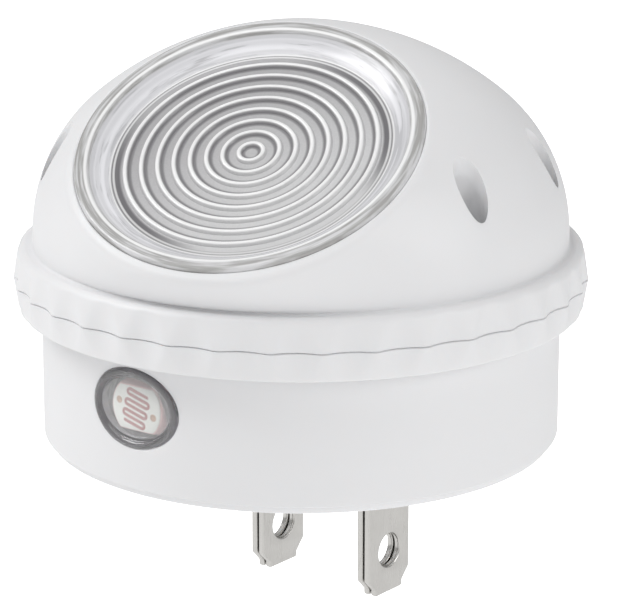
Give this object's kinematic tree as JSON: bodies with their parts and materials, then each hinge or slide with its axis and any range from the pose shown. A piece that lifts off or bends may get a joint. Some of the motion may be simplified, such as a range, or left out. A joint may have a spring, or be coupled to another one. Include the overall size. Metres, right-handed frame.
{
  "type": "plug in night light",
  "caption": "Round plug-in night light: fluted grip ring and dome that swivel on the base, tilted clear ringed lens, oval dusk-sensor window and flat folded plug blades.",
  "frame": {"origin": "centre of the flat plug face that meets the wall outlet, on the head's swivel axis", "axes": "+Z out of the wall along the swivel axis; the dusk sensor faces -Y; the two blades stand side by side along X and point along -Z"},
  "size_m": [0.053, 0.0531, 0.0546],
  "materials": {
    "white_plastic": "satin moulded",
    "plated_brass": "nickel plated, satin",
    "screw_steel": "zinc plated",
    "board": "solder mask",
    "lamp_board": "white solder mask",
    "film_case": "moulded",
    "can_sleeve": "shrink sleeve",
    "black_case": "moulded epoxy",
    "resistor_body": "lacquer",
    "photocell_face": "coated ceramic",
    "clear_plastic": "clear polished",
    "natural_plastic": "moulded",
    "washer_rubber": "smooth",
    "mirror_coat": "vacuum metallised",
    "led_case": "silicone and white case",
    "wire_insulation": "smooth insulation"
  },
  "bodies": {
    "base": {"plug_plate": "white_plastic", "blade_left": "plated_brass", "blade_right": "plated_brass", "base_shell": "white_plastic", "plate_screws": "screw_steel", "main_board": "board", "board_screws": "screw_steel", "film_capacitor": "film_case", "smoothing_capacitor": "can_sleeve", "bridge_rectifier": "black_case", "fuse_resistor": "resistor_body", "resistors": "resistor_body", "transistor": "black_case", "photocell": "photocell_face", "photocell_leads": "screw_steel", "sensor_window": "clear_plastic", "hub_cap": "natural_plastic", "hub_cap_screws": "screw_steel", "friction_washer": "washer_rubber", "led_leads": "wire_insulation"},
    "head": {"head_tray": "white_plastic", "dome_shell": "white_plastic", "dome_screws": "screw_steel", "lens": "clear_plastic", "reflector": "mirror_coat", "led_board": "lamp_board", "leds": "led_case", "led_board_screws": "screw_steel"}
  },
  "joints": [
    {"name": "head_swivel", "type": "hinge", "parent": "base", "child": "head", "pos_m": [0, 0, 0], "axis": [0, 0, 1], "range_deg": [-185, 151], "deforming": ["led_leads"]}
  ]
}
